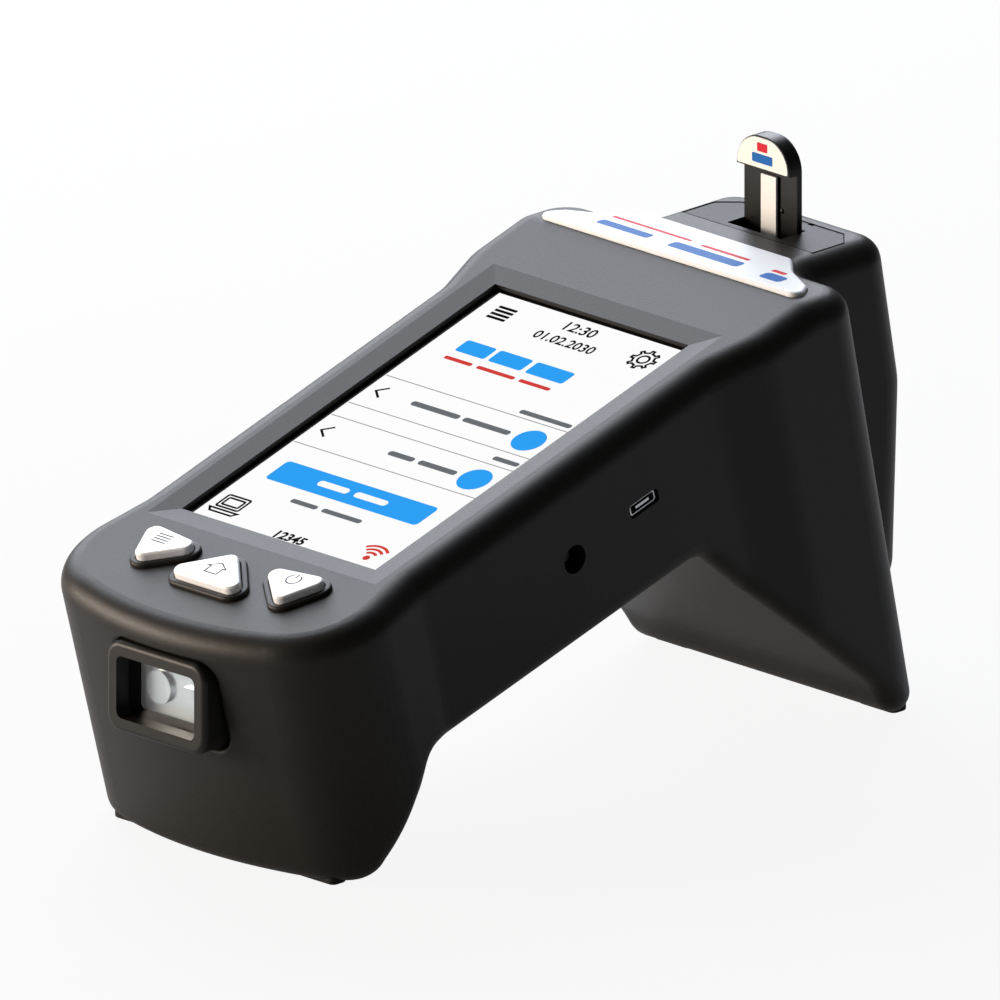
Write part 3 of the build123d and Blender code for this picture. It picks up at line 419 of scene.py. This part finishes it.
# thin printed marks on the key tops, whose height is read from the caps
keyIcon = {"line": 0.34, "sink": 0.02, "proud": 0.02}
keyMiddle = {"list": (-19.4, -62.6), "home": (0.0, -66.6), "power": (19.0, -62.4)}
listBars = {"half": 2.0, "top": 1.35, "step": 0.9, "count": 4}
houseShape = [(-1.7, -1.7), (1.7, -1.7), (1.7, 0.5), (2.6, 0.5), (0.0, 2.2), (-2.6, 0.5), (-1.7, 0.5)]
powerRing = {"radius": 1.7, "start": 120.0, "turn": 300.0, "stemLow": 0.5, "stemHigh": 2.0}
toDeck = deckFrame.inverted()
for key, (x, y) in keyMiddle.items():
    top = max((toDeck @ vertex.co).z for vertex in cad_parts["key_" + key].data.vertices)
    low, high, line = top - keyIcon["sink"], top + keyIcon["proud"], keyIcon["line"]
    work = bmesh.new()
    if key == "list":
        for i in range(listBars["count"]):
            barY = y + listBars["top"] - listBars["step"] * i
            addStroke(work, [(x - listBars["half"], barY), (x + listBars["half"], barY)], line, low, high)
    elif key == "home":
        addStroke(work, [(x + aside, y + rise) for aside, rise in houseShape], line, low, high, True)
    else:
        arc = ringPoints(x, y, powerRing["radius"], 20, powerRing["start"], powerRing["turn"], False)
        addStroke(work, arc, line, low, high)
        addStroke(work, [(x, y + powerRing["stemLow"]), (x, y + powerRing["stemHigh"])], line, low, high)
    addPiece(key + "Icon", work, deckFrame, "inkGrey", key + "_key")
print("key icons made")

# plain stripes on the badge and on the holder's label
stripe = {"sink": 0.02, "proud": 0.03, "badgeCorner": 0.3, "labelCorner": 0.15}
badgeStripes = {
    "Blue": ((-17.6, 73.2, 15.0, 2.6), (6.2, 73.2, 20.4, 3.2), (26.8, 72.4, 6.0, 3.4)),
    "Red": ((-13.6, 77.3, 23.0, 0.9), (8.4, 76.8, 14.0, 1.0), (25.4, 75.6, 4.0, 1.2)),
}
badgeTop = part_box("badge")[1].z
for tint, bars in badgeStripes.items():
    work = bmesh.new()
    addBars(work, bars, -stripe["sink"], stripe["proud"], stripe["badgeCorner"])
    addPiece("badgeStripes" + tint, work, levelFrame(badgeTop), "ink" + tint, "housing")

labelStripes = {"Red": (0.0, 1.3, 3.0, 1.9), "Blue": (0.0, -1.2, 6.0, 2.0)}
labelLow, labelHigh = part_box("holder_label")
labelMiddle = (labelLow.z + labelHigh.z) / 2 / mm
for tint, (x, z, width, height) in labelStripes.items():
    work = bmesh.new()
    bar = (x, labelMiddle + z, width, height)
    addBars(work, [bar], -stripe["sink"], stripe["proud"], stripe["labelCorner"])
    addPiece("labelStripe" + tint, work, frontFrame(labelLow.y), "ink" + tint, "strip_holder")
print("badge and label printed")

# the small nib that keeps the strip in its holder; above is its height over the plate's face
nib = {"radius": 0.5, "x": 3.4, "above": 3.9, "y": 98.5, "shape": (1.0, 1.25, 0.7)}
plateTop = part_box("slot_plate")[1].z
nibFrame = frontFrame((nib["y"] + place["y"]) * mm)
work = bmesh.new()
bmesh.ops.create_uvsphere(work, u_segments=20, v_segments=12, radius=nib["radius"])
bmesh.ops.scale(work, verts=work.verts[:], vec=nib["shape"])
bmesh.ops.translate(work, verts=work.verts[:], vec=(nib["x"], plateTop / mm + nib["above"], 0.0))
addPiece("stripNib", work, nibFrame, "holder", "strip_holder")

# painted shade: a near-black stroke along the corners of the slot plate's top face stands for the shaded gap
# round the plate
plateSeamShade = {"width": 0.22, "below": 0.02, "above": 0.12, "flatWithin": 0.01}
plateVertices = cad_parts["slot_plate"].data.vertices
rim = [(vertex.co.x / mm, vertex.co.y / mm - place["y"]) for vertex in plateVertices
       if vertex.co.z > plateTop - plateSeamShade["flatWithin"] * mm]
seamLine = [rim[i] for i in convex_hull_2d(rim)]
work = bmesh.new()
addStroke(work, seamLine, plateSeamShade["width"], -plateSeamShade["below"], plateSeamShade["above"], True)
addPiece("plateSeamShade", work, levelFrame(plateTop), "seamShade", "housing")
print("nib and plate seam made")

# the studio: the camera sees a white sweep that still takes the part's shadow; gloss sees it dimmer
studio = {"floorHalf": 3.0, "seen": 0.9, "seenInGloss": 0.2, "world": 0.08}
paper, paperTree, paperShader = newMaterial("whiteStudioSweep", "#bcbcbc", Roughness=0.9)
lightPath = addNode(paperTree, "ShaderNodeLightPath")
seen = addNode(paperTree, "ShaderNodeMath", [(0, lightPath.outputs["Is Camera Ray"])], operation="MULTIPLY")
seen.inputs[1].default_value = studio["seen"]
seenInGloss = addNode(paperTree, "ShaderNodeMath", [(0, lightPath.outputs["Is Glossy Ray"])],
                      operation="MULTIPLY")
seenInGloss.inputs[1].default_value = studio["seenInGloss"]
either = addNode(paperTree, "ShaderNodeMath", [(0, seen.outputs[0]), (1, seenInGloss.outputs[0])],
                 operation="MAXIMUM")
share = addNode(paperTree, "ShaderNodeMath",
                [(0, either.outputs[0]), (1, lightPath.outputs["Is Transmission Ray"])], operation="MAXIMUM")
glow = addNode(paperTree, "ShaderNodeEmission", Color=(1, 1, 1, 1), Strength=1.0)
sweep = addNode(paperTree, "ShaderNodeMixShader", [(0, share.outputs[0]), (1, paperShader.outputs["BSDF"]),
                                                   (2, glow.outputs["Emission"])])
paperTree.links.new(sweep.outputs["Shader"], paperTree.nodes["Material Output"].inputs["Surface"])

work = bmesh.new()
bmesh.ops.create_grid(work, x_segments=1, y_segments=1, size=studio["floorHalf"])
floorMesh = bpy.data.meshes.new("studioFloor")
work.to_mesh(floorMesh)
work.free()
floorMesh.materials.append(paper)
floor = bpy.data.objects.new("studioFloor", floorMesh)
bpy.context.scene.collection.objects.link(floor)

world = bpy.data.worlds.new("studio")
bpy.context.scene.world = world
world.use_nodes = True
world.node_tree.nodes["Background"].inputs["Color"].default_value = (1, 1, 1, 1)
world.node_tree.nodes["Background"].inputs["Strength"].default_value = studio["world"]

lamps = {  # place in metres, size, watts, colour
    "rearSoftbox": ((-0.62, 0.36, 0.62), (0.9, 0.9), 15.0, "#f0f5ff"),  # gives the tilted top its grey sheen
    "frontWarmCard": ((-0.68, -0.68, 0.2), (0.7, 0.36), 14.0, "#ffeedc"),  # warms the nose and the leg
}
lampTarget = Vector((0, 0, 0.06))
for name, (position, size, power, colour) in lamps.items():
    lamp = bpy.data.lights.new(name, "AREA")
    lamp.shape = "RECTANGLE"
    lamp.size, lamp.size_y = size
    lamp.energy = power
    lamp.color = linear(colour)[:3]
    stand = bpy.data.objects.new(name, lamp)
    bpy.context.scene.collection.objects.link(stand)
    stand.location = position
    stand.rotation_euler = (lampTarget - Vector(position)).to_track_quat("-Z", "Y").to_euler()
print("studio made")

# the photograph's view, as an orthographic camera fitted to the screen's corners
camera = {"pixelsPerMm": 4.804, "screenPixel": (436.6, 432.7), "size": 1000, "distance": 1.5, "seesTo": 10,
          "right": (0.7082, 0.7060, 0.0), "up": (-0.2241, 0.2247, 0.9483)}
right = Vector(camera["right"]).normalized()
back = right.cross(Vector(camera["up"])).normalized()
up = back.cross(right).normalized()
middle = camera["size"] / 2
aim = Vector((0, place["y"] * mm, place["z"] * mm))
aim += right * (middle - camera["screenPixel"][0]) / camera["pixelsPerMm"] * mm
aim -= up * (middle - camera["screenPixel"][1]) / camera["pixelsPerMm"] * mm
cameraData = bpy.data.cameras.new("photoCamera")
cameraData.type = "ORTHO"
cameraData.ortho_scale = camera["size"] / camera["pixelsPerMm"] * mm
cameraData.clip_end = camera["seesTo"]
cameraObject = bpy.data.objects.new("photoCamera", cameraData)
bpy.context.scene.collection.objects.link(cameraObject)
turn = Matrix((right, up, back)).transposed()
cameraObject.matrix_world = Matrix.Translation(aim + back * camera["distance"]) @ turn.to_4x4()
bpy.context.scene.camera = cameraObject
bpy.context.scene.view_settings.view_transform = "Standard"

print("scene ready")
